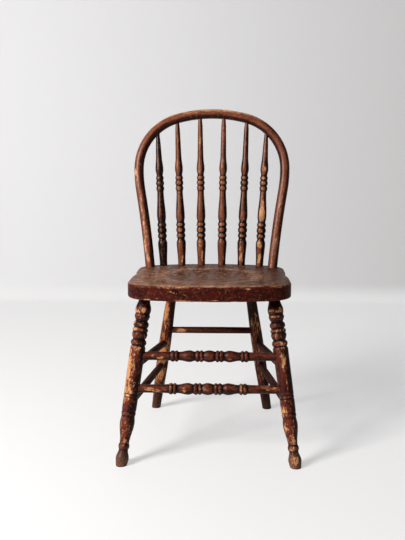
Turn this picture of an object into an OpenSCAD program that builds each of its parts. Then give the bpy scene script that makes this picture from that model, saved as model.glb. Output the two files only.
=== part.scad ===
// Bow-back spindle chair. Millimetres, +Z up, floor at Z = 0, the chair faces -Y, X = 0 is its middle.

/* [Overall] */
// Height from the floor to the top of the bow
chair_height = 894; // [745:1:1075]
// Height of the flat rim of the seat above the floor
seat_height = 443.5; // [370:0.5:530]
// Width of the seat, side to side
seat_width = 410; // [340:1:490]
// Depth of the seat, front to back
seat_depth = 415; // [350:1:500]
// Distance of the seat front edge ahead of the frame origin
seat_front = 207.7; // [170:0.1:250]

/* [Seat] */
// Thickness of the seat plank at its rim
seat_thickness = 37; // [30:0.5:45]
// Radius of the bowed front edge
front_edge_radius = 710; // [500:5:1000]
// Radius of the bowed back edge
back_edge_radius = 417; // [350:1:600]
// Radius of the four seat corners
corner_radius = 70; // [50:1:80]
// How far the waist cuts in on each side
waist_depth = 5; // [2:0.5:12]
// Half length of the waist, front to back
waist_half_length = 62; // [40:1:80]
// Middle of the waist ahead of (-) or behind (+) the origin
waist_y = 4.3; // [-30:0.1:40]
// Radius of the hollow part of the waist
waist_radius = 140; // [80:5:250]
// Radius rubbed on the top arris
top_arris = 6; // [2:0.5:10]
// Radius on the bottom arris
bottom_arris = 6; // [2:0.5:10]
// Half width of the saddled hollow
dish_half_width = 162; // [100:1:180]
// Half length of the saddled hollow, front to back
dish_half_length = 160; // [100:1:175]
// Share of the hollow that is flat before its wall rises
dish_flat = 0.3; // [0:0.05:0.7]
// Depth of the saddled hollow at its middle
dish_depth = 9; // [3:0.5:14]
// Middle of the hollow ahead of (-) or behind (+) the origin
dish_y = -15; // [-40:1:20]

/* [Bow] */
// Diameter of the bow rod
bow_diameter = 26.6; // [20:0.1:32]
// Half width of the bow centre line at its widest
bow_half_width = 210.8; // [180:0.1:240]
// How far below its crown the bow is widest, along the bow
bow_shoulder_drop = 159; // [120:1:200]
// Radius of the flat crown of the bow
crown_radius = 380; // [280:5:600]
// Radius of the bend just below the widest point
flank_radius = 380; // [250:5:600]
// Steepest inward run of the bow flanks, in degrees
flank_angle = 9.8; // [7:0.1:12]
// Inward run of the bow where it enters the seat, in degrees
foot_angle = 5.6; // [3:0.1:7]
// Backward lean of the bow, in degrees
bow_lean = 11.23; // [6:0.01:16]
// Distance of the bow feet behind the origin
bow_foot_y = 135.3; // [110:0.1:150]

/* [Wedges] */
// Width of the saw cut in the end of each bow foot
wedge_slot = 3; // [2:0.1:5]
// How far up the foot the saw cut runs
wedge_slot_depth = 22; // [12:1:28]
// Length of each wedge
wedge_length = 19; // [10:1:24]
// Thickness of the thin edge of a wedge
wedge_tip = 0.8; // [0.4:0.1:1.5]

/* [Spindle places] */
// Half spacing of the middle, next and outer pairs at the seat
spindle_foot_x = [30, 87, 139.5]; // [20:0.5:160]
// Half spacing of the middle, next and outer pairs at the bow
spindle_head_x = [34.5, 101, 158]; // [20:0.5:180]
// Distance of the row of spindles in from the back edge of the seat
spindle_row_inset = 15; // [13:0.5:25]
// How deep each spindle goes into the seat
spindle_socket_depth = 20; // [12:1:25]

/* [Spindle turning: start, end, first diameter, second diameter] */
// Length along the middle spindle that the turning below was set out for
spindle_set_length = 441; // [300:1:500]
// Plain foot, in the seat and just above it
spindle_foot = [0, 8, 21.2, 21.2]; // [0:0.1:500]
// Rise of the lower swelling
spindle_low_rise = [8, 66, 21.2, 26.6]; // [0:0.1:500]
// Fall of the lower swelling to its quirk
spindle_low_fall = [66, 79, 26.6, 20.4]; // [0:0.1:500]
// Lowest bead of the lower three
spindle_bead_1 = [80, 94, 20.8, 25.6]; // [0:0.1:500]
// Large middle bead of the lower three
spindle_bead_2 = [95, 112, 21, 26.6]; // [0:0.1:500]
// Highest bead of the lower three
spindle_bead_3 = [113, 126, 21.6, 26]; // [0:0.1:500]
// Rise of the middle vase
spindle_mid_rise = [127, 143, 21.2, 25.4]; // [0:0.1:500]
// Fall of the middle vase
spindle_mid_fall = [143, 217, 25.4, 18]; // [0:0.1:500]
// Lowest bead of the upper three
spindle_bead_4 = [219, 234, 18, 22.4]; // [0:0.1:500]
// Large middle bead of the upper three
spindle_bead_5 = [235, 249.5, 18.4, 23]; // [0:0.1:500]
// Highest bead of the upper three
spindle_bead_6 = [250.5, 263, 18, 21.8]; // [0:0.1:500]
// Rise of the upper vase
spindle_top_rise = [264, 282, 17.4, 22.4]; // [0:0.1:500]
// Fall of the upper vase
spindle_top_fall = [282, 321, 22.4, 16.4]; // [0:0.1:500]
// Diameter of the spindle head in the bow
spindle_head = 10; // [8:0.1:14]
// Diameter where the head shoulder starts
spindle_neck_diameter = 13; // [10:0.1:16]
// Length of the shoulder that runs down to the head
spindle_neck = 18; // [10:1:40]

/* [Leg places] */
// Front legs under the seat: half spacing and distance ahead of the origin
front_leg_top = [161.6, 121.3]; // [90:0.1:230]
// Front legs at the floor: half spacing and distance ahead of the origin
front_leg_foot = [214.5, 222.3]; // [90:0.1:260]
// Rear legs under the seat: half spacing and distance behind the origin
rear_leg_top = [106.7, 113.3]; // [90:0.1:230]
// Rear legs at the floor: half spacing and distance behind the origin
rear_leg_foot = [169.4, 206.9]; // [90:0.1:260]
// How deep each leg goes into the seat
leg_socket_depth = 25; // [15:1:28]

/* [Front leg turning: start, end, first diameter, second diameter] */
// Length from the seat down that the turning below was set out for
leg_set_length = 423; // [300:1:500]
// Plain neck, in the seat and just below it
leg_neck = [0, 9, 27.5, 27.5]; // [0:0.1:500]
// Rise of the top swelling
leg_top_rise = [9, 36, 27.5, 39]; // [0:0.1:500]
// Fall of the top swelling
leg_top_fall = [36, 47, 39, 35.4]; // [0:0.1:500]
// Ring under the top swelling
leg_ring_1 = [48, 56.5, 35, 38.2]; // [0:0.1:500]
// Cove down from the ring
leg_cove_1 = [57, 64.5, 35, 29.2]; // [0:0.1:500]
// Ball under the cove
leg_ball = [65, 82, 29.4, 38.4]; // [0:0.1:500]
// Thin ring under the ball
leg_ring_2 = [82.5, 92, 34.6, 38.4]; // [0:0.1:500]
// Second thin ring
leg_ring_3 = [93, 104, 35, 38.2]; // [0:0.1:500]
// Cove down from the second thin ring
leg_cove_2 = [104.5, 110.5, 35, 29.6]; // [0:0.1:500]
// Bead above the long barrel
leg_bead = [111, 127, 30, 38.8]; // [0:0.1:500]
// Shoulder of the long barrel
leg_barrel_shoulder = [127.5, 133, 35, 37.6]; // [0:0.1:500]
// Long barrel
leg_barrel = [133, 245.5, 37.6, 36]; // [0:0.1:500]
// Upper of the two cut rings
leg_ring_4 = [247, 255, 33.6, 36]; // [0:0.1:500]
// Short barrel
leg_short_barrel = [259, 288, 35.8, 35]; // [0:0.1:500]
// Ring under the short barrel
leg_ring_5 = [290.5, 300, 32.6, 35.2]; // [0:0.1:500]
// Rise of the long vase
leg_vase_rise = [301, 318, 32.4, 35.8]; // [0:0.1:500]
// Fall of the long vase
leg_vase_fall = [318, 369, 35.8, 22.4]; // [0:0.1:500]
// Ring at the ankle
leg_ankle_ring = [370, 383, 22.6, 26.8]; // [0:0.1:500]
// Rise of the foot ball
leg_foot_rise = [385, 406, 22.2, 31.6]; // [0:0.1:500]
// Fall of the foot ball
leg_foot_fall = [406, 415, 31.6, 29.4]; // [0:0.1:500]
// Taper to the floor
leg_toe = [415, 432, 29.4, 23]; // [0:0.1:500]

/* [Rear leg shape: start, end, first diameter, second diameter] */
// Plain neck, in the seat and just below it
rear_neck = [0, 30, 27.6, 27.8]; // [0:0.1:500]
// Long rise to the middle
rear_rise = [30, 215, 27.8, 34.6]; // [0:0.1:500]
// Long taper to the floor
rear_fall = [260, 432, 34.6, 26]; // [0:0.1:500]

/* [Stretcher heights] */
// Height of the upper and lower front stretchers on the leg
front_stretcher_z = [260, 181.7]; // [100:0.1:330]
// Height of the upper side stretchers at the front and rear legs
upper_side_z = [234.8, 216.9]; // [100:0.1:330]
// Height of the lower side stretchers at the front and rear legs
lower_side_z = [145.3, 145.1]; // [100:0.1:330]
// Height of the rear stretcher on the leg
rear_stretcher_z = 255.8; // [100:0.1:330]
// How far each stretcher end stops short of the leg centre line
stretcher_end_gap = 2; // [1:0.5:6]

/* [Front stretcher turning, out from its middle: start, end, first diameter, second diameter] */
// Seat width that the turning below was set out for
stretcher_set_width = 410; // [300:1:500]
// Half of the middle ball
stretcher_ball = [0, 14.5, 29, 22.2]; // [0:0.1:500]
// First ring beside the ball
stretcher_ring_1 = [15.5, 24.5, 22.4, 29]; // [0:0.1:500]
// Second ring
stretcher_ring_2 = [25.5, 34, 24.8, 28.6]; // [0:0.1:500]
// Rise of the vase
stretcher_vase_rise = [35.5, 49, 22.4, 28.6]; // [0:0.1:500]
// Fall of the vase
stretcher_vase_fall = [49, 76, 28.6, 20.6]; // [0:0.1:500]
// First ring beyond the vase
stretcher_ring_3 = [78, 86.5, 21.4, 28]; // [0:0.1:500]
// Second ring beyond the vase
stretcher_ring_4 = [87.5, 96, 24.6, 27.8]; // [0:0.1:500]
// Run down to the plain end
stretcher_end_run = [97, 112, 21.6, 20.6]; // [0:0.1:500]
// Diameter of the plain ends
stretcher_end = 20; // [16:0.1:24]
// How far the turning of the upper stretcher sits to the right of its middle
upper_turning_shift = 1.5; // [-4:0.5:4]
// How far the turning of the lower stretcher sits to the right of its middle
lower_turning_shift = -2; // [-4:0.5:4]

/* [Plain stretchers] */
// Diameter of the plain stretchers at their ends
plain_end = 17.6; // [14:0.1:22]
// Diameter of the side stretchers at their middle
side_middle = 19.4; // [14:0.1:24]
// Diameter of the rear stretcher at its middle
rear_middle = 18.2; // [14:0.1:24]

/* [Fit] */
// Gap all round between a round end and its socket
socket_clearance = 0.05; // [0.02:0.01:0.2]

/* [Hidden] */

left = -1;
right = 1;
$fn = 96;
bead_steps = 8;
curve_steps = 8;
bead_fullness = 0.75;
beyond = 2000;
arris_steps = 4;
dish_steps = 12;
rim_flat = 14;
joint_length = 1;
joint_lap = 0.25;
joint_skin_share = 0.015;
foot_rise_share = 0.3;
seam_turn = 40;
turned_end_past_leg = 1;
plain_end_past_leg = 2;

seat_under = seat_height - seat_thickness;
half_width = seat_width / 2;
seat_back = seat_depth - seat_front;
bow_radius = bow_diameter / 2;
joint_skin = joint_skin_share * bow_radius;
tenon_radius = bow_radius - joint_skin;
foot_rise = foot_rise_share * bow_radius;

// Seat outline: centres and angles of its arcs
front_arc_y = front_edge_radius - seat_front;
back_arc_y = seat_back - back_edge_radius;
corner_x = half_width - corner_radius;
front_corner_y = front_arc_y - sqrt(pow(front_edge_radius - corner_radius, 2) - pow(corner_x, 2));
back_corner_y = back_arc_y + sqrt(pow(back_edge_radius - corner_radius, 2) - pow(corner_x, 2));
front_arc_turn = atan2(corner_x, front_arc_y - front_corner_y);
back_arc_turn = atan2(corner_x, back_corner_y - back_arc_y);
waist_turn = 2 * atan(waist_depth / waist_half_length);
blend_radius = waist_half_length / sin(waist_turn) - waist_radius;
blend_x = half_width - blend_radius;
hollow_x = half_width - waist_depth + waist_radius;
waist_start = waist_y - waist_half_length;
waist_end = waist_y + waist_half_length;

// Bow: arcs in its own leaning plane, s measured up the plane from the seat rim
crown_s = (chair_height - seat_height - bow_radius) / cos(bow_lean);
crown_centre_s = crown_s - crown_radius;
wide_s = crown_s - bow_shoulder_drop;
shoulder_radius = (pow(bow_half_width, 2) - 2 * bow_shoulder_drop * crown_radius
    + pow(bow_shoulder_drop, 2)) / (2 * (bow_half_width - crown_radius));
shoulder_x = bow_half_width - shoulder_radius;
crown_turn = atan2(shoulder_x, wide_s - crown_centre_s);
crown_end_x = crown_radius * sin(crown_turn);
flank_x = bow_half_width - flank_radius;
flank_end_x = flank_x + flank_radius * cos(flank_angle);
flank_end_s = wide_s - flank_radius * sin(flank_angle);
foot_radius = (flank_end_s - foot_rise) / (sin(flank_angle) - sin(foot_angle));
foot_centre_x = flank_end_x + foot_radius * cos(flank_angle);
foot_centre_s = flank_end_s - foot_radius * sin(flank_angle);
foot_x = foot_centre_x - foot_radius * cos(foot_angle);
foot_run = seat_thickness + foot_rise + bow_diameter;

// Turned work: scale of each set-out length to the part that is made
row_radius = back_edge_radius - spindle_row_inset;
row_y = seat_back - spindle_row_inset;
stretcher_scale = seat_width / stretcher_set_width;

function row_at(x) = row_y - row_radius + sqrt(pow(row_radius, 2) - pow(x, 2));
function bow_s_at(x) = x < crown_end_x
    ? crown_centre_s + sqrt(pow(crown_radius, 2) - pow(x, 2))
    : wide_s + sqrt(pow(shoulder_radius, 2) - pow(x - shoulder_x, 2));
function bow_point(x, s) = [x, bow_foot_y + s * sin(bow_lean), seat_height + s * cos(bow_lean)];
function spindle_side(i) = i < 3 ? left : right;
function spindle_pair(i) = i < 3 ? 2 - i : i - 3;
function spindle_low(i) = [
    spindle_side(i) * spindle_foot_x[spindle_pair(i)],
    row_at(spindle_foot_x[spindle_pair(i)]),
    seat_height
];
function spindle_high(i) = let (x = spindle_head_x[spindle_pair(i)], p = bow_point(x, bow_s_at(x)))
    [spindle_side(i) * p[0], p[1], p[2]];
// How far the round bow reaches down a spindle from the bow centre line
function head_reach(i) = let (
    x = spindle_head_x[spindle_pair(i)],
    a = x < crown_end_x ? asin(x / crown_radius) : asin((x - shoulder_x) / shoulder_radius),
    across = [spindle_side(i) * sin(a), cos(a) * sin(bow_lean), cos(a) * cos(bow_lean)],
    d = spindle_high(i) - spindle_low(i),
    tilt = acos(across * d / norm(d))
) (bow_radius + spindle_head / 2 * sin(tilt)) / cos(tilt) + socket_clearance;
middle_spindle = norm(spindle_high(2) - spindle_low(2));
spindle_scale = middle_spindle / spindle_set_length;

function leg_top(front, side) = front
    ? [side * front_leg_top[0], -front_leg_top[1], seat_under]
    : [side * rear_leg_top[0], rear_leg_top[1], seat_under];
function leg_foot(front, side) = front
    ? [side * front_leg_foot[0], -front_leg_foot[1], 0]
    : [side * rear_leg_foot[0], rear_leg_foot[1], 0];
function leg_length(front) = norm(leg_foot(front, right) - leg_top(front, right));
function leg_at(front, side, z) = leg_foot(front, side)
    + (leg_top(front, side) - leg_foot(front, side)) * z / seat_under;

// Points up one side of a turned outline, as [radius, distance]
function bead(f, k) = [for (i = [0 : bead_steps])
    [f[2] / 2 + (f[3] - f[2]) / 2 * pow(sin(180 * i / bead_steps), bead_fullness),
     (f[0] + (f[1] - f[0]) * i / bead_steps) * k]];
function ease(f, k) = [for (i = [0 : curve_steps])
    [f[2] / 2 + (f[3] - f[2]) / 4 * (1 - cos(180 * i / curve_steps)),
     (f[0] + (f[1] - f[0]) * i / curve_steps) * k]];
function dome(f, k) = [for (i = [0 : curve_steps])
    [f[3] / 2 + (f[2] - f[3]) / 2 * cos(90 * i / curve_steps),
     (f[0] + (f[1] - f[0]) * i / curve_steps) * k]];
function run(f, k) = [[f[2] / 2, f[0] * k], [f[3] / 2, f[1] * k]];
function flip(points) = [for (i = [len(points) - 1 : -1 : 0]) [points[i][0], -points[i][1]]];
function moved(points, d) = [for (p = points) [p[0], p[1] + d]];

function arc(cx, cy, r, a0, a1, steps) = [for (i = [0 : steps - 1])
    let (a = a0 + (a1 - a0) * i / steps) [cx + r * cos(a), cy + r * sin(a)]];

// Seat: one smooth skin of rings, from the middle of the underside round the edge to the hollow
function seat_side(w) = concat(
    arc(0, front_arc_y, front_edge_radius - w, -90, front_arc_turn - 90, 4),
    arc(corner_x, front_corner_y, corner_radius - w, front_arc_turn - 90, 0, 7),
    arc(blend_x, waist_start, blend_radius - w, 0, waist_turn, 2),
    arc(hollow_x, waist_y, waist_radius + w, 180 + waist_turn, 180 - waist_turn, 3),
    arc(blend_x, waist_end, blend_radius - w, -waist_turn, 0, 2),
    arc(corner_x, back_corner_y, corner_radius - w, 0, 90 - back_arc_turn, 7),
    arc(0, back_arc_y, back_edge_radius - w, 90 - back_arc_turn, 90, 4)
);
function seat_loop(w) = let (side = seat_side(w)) concat(
    side,
    [[0, seat_back - w]],
    [for (i = [len(side) - 1 : -1 : 1]) [-side[i][0], side[i][1]]]
);
function dish_drop(p) = let (
    far = norm([p[0] / dish_half_width, (p[1] - dish_y) / dish_half_length]),
    wall = (far - dish_flat) / (1 - dish_flat)
) far <= dish_flat ? dish_depth : far >= 1 ? 0 : dish_depth * (1 + cos(180 * wall)) / 2;
function at_height(loop, z) = [for (p = loop) [p[0], p[1], z]];
function dished(loop) = [for (p = loop) [p[0], p[1], seat_height - dish_drop(p)]];
function shrunk(loop, share) = [for (p = loop) [p[0] * share, dish_y + (p[1] - dish_y) * share]];
module seat_blank() {
    under_rings = [for (i = [0 : arris_steps]) let (a = 90 * i / arris_steps)
        at_height(seat_loop(bottom_arris * (1 - sin(a))), seat_under + bottom_arris * (1 - cos(a)))];
    upper_rings = [for (i = [0 : arris_steps]) let (a = 90 * i / arris_steps)
        at_height(seat_loop(top_arris * (1 - cos(a))), seat_height - top_arris * (1 - sin(a)))];
    inner = seat_loop(rim_flat);
    dish_rings = [for (i = [0 : dish_steps - 1]) dished(shrunk(inner, 1 - i / dish_steps))];
    rings = concat(under_rings, upper_rings, dish_rings);
    count = len(inner);
    last = len(rings) - 1;
    points = concat([for (ring = rings) each ring], [[0, dish_y, seat_height - dish_depth]]);
    faces = concat(
        [[for (i = [0 : count - 1]) i]],
        [for (j = [0 : last - 1], i = [0 : count - 1]) let (k = (i + 1) % count)
            each [[(j + 1) * count + i, j * count + k, j * count + i],
                [(j + 1) * count + i, (j + 1) * count + k, j * count + k]]],
        [for (i = [0 : count - 1]) [last * count + (i + 1) % count, last * count + i, len(points) - 1]]
    );
    polyhedron(points, faces);
}

// Places a piece that is drawn along +Z so that it starts at p and points to q
module along(p, q) {
    d = q - p;
    translate(p)
        rotate([0, acos(d[2] / norm(d)), atan2(d[1], d[0])])
            children();
}
module in_bow_plane() {
    translate([0, bow_foot_y, seat_height]) rotate([90 - bow_lean, 0, 0]) children();
}
module at_bow_foot(side) {
    in_bow_plane()
        translate([side * foot_x, foot_rise, 0])
            rotate([90, 0, -side * foot_angle])
                children();
}
module above(z) {
    translate([-beyond / 2, -beyond / 2, z]) cube(beyond);
}

module leg_socket(front, side) {
    r = (front ? leg_neck[3] : rear_neck[2]) / 2 + socket_clearance;
    along(leg_top(front, side), leg_foot(front, side))
        translate([0, 0, -leg_socket_depth - socket_clearance])
            cylinder(h = 2 * leg_socket_depth, r = r);
}
module spindle_socket(i) {
    along(spindle_low(i), spindle_high(i))
        translate([0, 0, -spindle_socket_depth - socket_clearance])
            cylinder(h = 2 * spindle_socket_depth, r = spindle_foot[2] / 2 + socket_clearance);
}
module bow_socket(side) {
    at_bow_foot(side)
        translate([0, 0, -bow_diameter])
            cylinder(h = foot_run + 2 * bow_diameter, r = tenon_radius + socket_clearance);
}

module seat() {
    color("#5d3c2b") difference() {
        seat_blank();
        for (side = [left, right]) {
            leg_socket(true, side);
            leg_socket(false, side);
            bow_socket(side);
        }
        for (i = [0 : 5]) spindle_socket(i);
    }
}

// Bow: round rod bent through arcs, with a short straight piece where two of them meet
module rod_arc(cx, cs, r, a0, a1) {
    trim = (joint_lap / r) * 180 / PI;
    translate([cx, cs, 0])
        rotate([0, 0, a0 + trim])
            rotate_extrude(angle = a1 - a0 - 2 * trim)
                translate([r, 0]) circle(bow_radius);
}
module rod_joint(cx, cs, r, a) {
    translate([cx, cs, 0])
        rotate([90, 0, a])
            translate([r, 0, 0])
                cylinder(h = joint_length, r = bow_radius + joint_skin, center = true);
}
module rod_side() {
    rod_arc(shoulder_x, wide_s, shoulder_radius, 0, 90 - crown_turn);
    rod_arc(flank_x, wide_s, flank_radius, -flank_angle, 0);
    rod_arc(foot_centre_x, foot_centre_s, foot_radius, 180 - flank_angle, 180 - foot_angle);
    rod_joint(shoulder_x, wide_s, shoulder_radius, 90 - crown_turn);
    rod_joint(shoulder_x, wide_s, shoulder_radius, 0);
    rod_joint(flank_x, wide_s, flank_radius, -flank_angle);
}
module rod_foot(side, r) {
    at_bow_foot(side)
        rotate([0, 0, 90 + side * 90])
            translate([0, 0, -joint_length / 2])
                cylinder(h = foot_run, r = r);
}
module saw_cut(side) {
    in_bow_foot_end(side)
        translate([-wedge_slot / 2, -bow_diameter, 0])
            cube([wedge_slot, 2 * bow_diameter, wedge_slot_depth + foot_run]);
}
// Drawn from the bottom end of a bow foot, upward
module in_bow_foot_end(side) {
    end = (seat_thickness / cos(bow_lean) + foot_rise) / cos(foot_angle);
    at_bow_foot(side) translate([0, 0, end - wedge_slot_depth]) children();
}
module head_socket(i) {
    p = spindle_high(i);
    q = spindle_low(i);
    along(p, q)
        translate([0, 0, -socket_clearance])
            cylinder(h = 2 * bow_diameter, r = spindle_head / 2 + socket_clearance);
}
module bow() {
    color("#7a4d2c") difference() {
        intersection() {
            union() {
                in_bow_plane() {
                    rod_arc(0, crown_centre_s, crown_radius, 90 - crown_turn, 90 + crown_turn);
                    rod_side();
                    mirror([1, 0, 0]) rod_side();
                }
                rod_foot(left, tenon_radius);
                rod_foot(right, tenon_radius);
            }
            above(seat_under);
        }
        for (i = [0 : 5]) head_socket(i);
        saw_cut(left);
        saw_cut(right);
    }
}
module bow_wedge(side) {
    wide = wedge_slot / 2 - socket_clearance;
    tip = wedge_tip / 2;
    top = wedge_slot_depth - wedge_length;
    color("#b98b56") intersection() {
        in_bow_foot_end(side)
            rotate([90, 0, 0])
                linear_extrude(2 * bow_diameter, center = true)
                    polygon([[-tip, top], [tip, top], [wide, wedge_slot_depth], [wide, foot_run],
                        [-wide, foot_run], [-wide, wedge_slot_depth]]);
        rod_foot(side, tenon_radius - socket_clearance);
        above(seat_under);
    }
}
module bow_wedge_left() {
    bow_wedge(left);
}
module bow_wedge_right() {
    bow_wedge(right);
}

// Back spindles, numbered from the left
function spindle_outline(length, reach) = let (k = spindle_scale, top = length - reach) concat(
    [[0, -spindle_socket_depth], [spindle_foot[2] / 2, -spindle_socket_depth]],
    run(spindle_foot, k),
    ease(spindle_low_rise, k), ease(spindle_low_fall, k),
    bead(spindle_bead_1, k), bead(spindle_bead_2, k), bead(spindle_bead_3, k),
    ease(spindle_mid_rise, k), ease(spindle_mid_fall, k),
    bead(spindle_bead_4, k), bead(spindle_bead_5, k), bead(spindle_bead_6, k),
    ease(spindle_top_rise, k), ease(spindle_top_fall, k),
    [[spindle_neck_diameter / 2, top - spindle_neck], [spindle_head / 2, top],
     [spindle_head / 2, length], [0, length]]
);
module spindle(i) {
    low = spindle_low(i);
    high = spindle_high(i);
    color("#4a2a1c")
        along(low, high)
            rotate_extrude() polygon(spindle_outline(norm(high - low), head_reach(i)));
}
module spindle_1() {
    spindle(0);
}
module spindle_2() {
    spindle(1);
}
module spindle_3() {
    spindle(2);
}
module spindle_4() {
    spindle(3);
}
module spindle_5() {
    spindle(4);
}
module spindle_6() {
    spindle(5);
}

// Legs
function front_leg_outline(k) = concat(
    [[0, -leg_socket_depth], [leg_neck[2] / 2, -leg_socket_depth]],
    run(leg_neck, k),
    ease(leg_top_rise, k), ease(leg_top_fall, k),
    bead(leg_ring_1, k), ease(leg_cove_1, k), bead(leg_ball, k),
    bead(leg_ring_2, k), bead(leg_ring_3, k), ease(leg_cove_2, k),
    bead(leg_bead, k), ease(leg_barrel_shoulder, k), run(leg_barrel, k),
    bead(leg_ring_4, k), run(leg_short_barrel, k), bead(leg_ring_5, k),
    ease(leg_vase_rise, k), ease(leg_vase_fall, k), bead(leg_ankle_ring, k),
    ease(leg_foot_rise, k), ease(leg_foot_fall, k), run(leg_toe, k),
    [[0, leg_toe[1] * k]]
);
function rear_leg_outline(k) = concat(
    [[0, -leg_socket_depth], [rear_neck[2] / 2, -leg_socket_depth]],
    run(rear_neck, k), ease(rear_rise, k), ease(rear_fall, k),
    [[0, rear_fall[1] * k]]
);
module stretcher_socket(p, q, diameter) {
    along(p, q)
        translate([0, 0, stretcher_end_gap - socket_clearance])
            cylinder(h = leg_barrel[2], r = diameter / 2 + socket_clearance);
}
module front_leg(side) {
    k = leg_length(true) / leg_set_length;
    color("#6b3f26") difference() {
        intersection() {
            along(leg_top(true, side), leg_foot(true, side))
                rotate([0, 0, seam_turn]) rotate_extrude() polygon(front_leg_outline(k));
            above(0);
        }
        for (z = front_stretcher_z)
            stretcher_socket(leg_at(true, side, z), leg_at(true, -side, z), stretcher_end);
        for (z = [upper_side_z, lower_side_z])
            stretcher_socket(leg_at(true, side, z[0]), leg_at(false, side, z[1]), plain_end);
    }
}
module rear_leg(side) {
    k = leg_length(false) / leg_set_length;
    color("#8a5a34") difference() {
        intersection() {
            along(leg_top(false, side), leg_foot(false, side))
                rotate([0, 0, seam_turn]) rotate_extrude() polygon(rear_leg_outline(k));
            above(0);
        }
        stretcher_socket(leg_at(false, side, rear_stretcher_z),
            leg_at(false, -side, rear_stretcher_z), plain_end);
        for (z = [upper_side_z, lower_side_z])
            stretcher_socket(leg_at(false, side, z[1]), leg_at(true, side, z[0]), plain_end);
    }
}
module front_leg_left() {
    front_leg(left);
}
module front_leg_right() {
    front_leg(right);
}
module rear_leg_left() {
    rear_leg(left);
}
module rear_leg_right() {
    rear_leg(right);
}

// Stretchers
function turned_half(k) = concat(
    dome(stretcher_ball, k),
    bead(stretcher_ring_1, k), bead(stretcher_ring_2, k),
    ease(stretcher_vase_rise, k), ease(stretcher_vase_fall, k),
    bead(stretcher_ring_3, k), bead(stretcher_ring_4, k),
    ease(stretcher_end_run, k)
);
function between(points, length) = concat(
    [[0, stretcher_end_gap], [points[0][0], stretcher_end_gap]],
    points,
    [[points[len(points) - 1][0], length - stretcher_end_gap], [0, length - stretcher_end_gap]]
);
module front_stretcher(z, shift) {
    p = leg_at(true, left, z);
    q = leg_at(true, right, z);
    length = norm(q - p);
    half = turned_half(stretcher_scale);
    end = stretcher_end / 2;
    ends = [[end, stretcher_end_gap + leg_barrel[2] / 2 + turned_end_past_leg]];
    color("#6e2c1c")
        along(p, q)
            rotate_extrude()
                polygon(between(concat(ends, moved(concat(flip(half), half), length / 2 + shift),
                    [[end, length - ends[0][1]]]), length));
}
module plain_stretcher(p, q, middle) {
    length = norm(q - p);
    start = leg_barrel[2] / 2 + plain_end_past_leg;
    steps = 2 * curve_steps;
    swell = [for (i = [0 : steps])
        [plain_end / 2 + (middle - plain_end) / 2 * sin(180 * i / steps),
         start + (length - 2 * start) * i / steps]];
    color("#5a2c1e")
        along(p, q)
            rotate_extrude() polygon(between(swell, length));
}
module front_stretcher_upper() {
    front_stretcher(front_stretcher_z[0], upper_turning_shift);
}
module front_stretcher_lower() {
    front_stretcher(front_stretcher_z[1], lower_turning_shift);
}
module side_stretcher(side, z) {
    plain_stretcher(leg_at(true, side, z[0]), leg_at(false, side, z[1]), side_middle);
}
module side_stretcher_left_upper() {
    side_stretcher(left, upper_side_z);
}
module side_stretcher_left_lower() {
    side_stretcher(left, lower_side_z);
}
module side_stretcher_right_upper() {
    side_stretcher(right, upper_side_z);
}
module side_stretcher_right_lower() {
    side_stretcher(right, lower_side_z);
}
module rear_stretcher() {
    plain_stretcher(leg_at(false, left, rear_stretcher_z), leg_at(false, right, rear_stretcher_z),
        rear_middle);
}

seat();
bow();
bow_wedge_left();
bow_wedge_right();
spindle_1();
spindle_2();
spindle_3();
spindle_4();
spindle_5();
spindle_6();
front_leg_left();
front_leg_right();
rear_leg_left();
rear_leg_right();
front_stretcher_upper();
front_stretcher_lower();
side_stretcher_left_upper();
side_stretcher_left_lower();
side_stretcher_right_upper();
side_stretcher_right_lower();
rear_stretcher();
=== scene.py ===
# %% [markdown]
# # A bow-back kitchen chair with peeling paint
# The chair is turned wood, taken as beech: a saddled seat, four splayed legs, seven
# stretchers, six spindles and a steam-bent bow. Hands, feet and damp have rubbed, cracked and
# peeled its dark brown finish. The CAD model gives every size and place. Here each CAD node is
# made again as a finer surface, so that its finish can really stand proud of the wood.

# %% The frame and the CAD box
import math

import bmesh
import bpy
import numpy as np
from mathutils import Matrix, Vector
from mathutils.bvhtree import BVHTree


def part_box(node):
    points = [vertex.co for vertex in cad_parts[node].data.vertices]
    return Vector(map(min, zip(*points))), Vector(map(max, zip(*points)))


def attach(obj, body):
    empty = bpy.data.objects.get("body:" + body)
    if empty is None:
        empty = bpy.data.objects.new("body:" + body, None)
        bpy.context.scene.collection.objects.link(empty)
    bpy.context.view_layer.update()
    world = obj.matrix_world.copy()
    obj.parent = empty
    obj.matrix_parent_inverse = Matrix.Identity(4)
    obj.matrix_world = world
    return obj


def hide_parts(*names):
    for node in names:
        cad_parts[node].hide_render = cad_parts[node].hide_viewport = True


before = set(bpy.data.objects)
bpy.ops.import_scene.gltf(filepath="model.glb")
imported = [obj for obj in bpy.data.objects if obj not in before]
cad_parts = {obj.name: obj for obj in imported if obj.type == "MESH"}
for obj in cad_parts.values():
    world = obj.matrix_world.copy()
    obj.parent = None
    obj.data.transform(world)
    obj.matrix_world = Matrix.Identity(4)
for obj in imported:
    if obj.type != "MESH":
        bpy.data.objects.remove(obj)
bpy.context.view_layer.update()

MM = 0.001
scene = bpy.context.scene

# %% [markdown]
# ## Camera
# A portrait lens at about the height of the bow, looking slightly down, sees the whole chair
# and the floor it stands on. The camera's three axes are written as a matrix, which leaves
# no doubt about the order of the turns.

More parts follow.
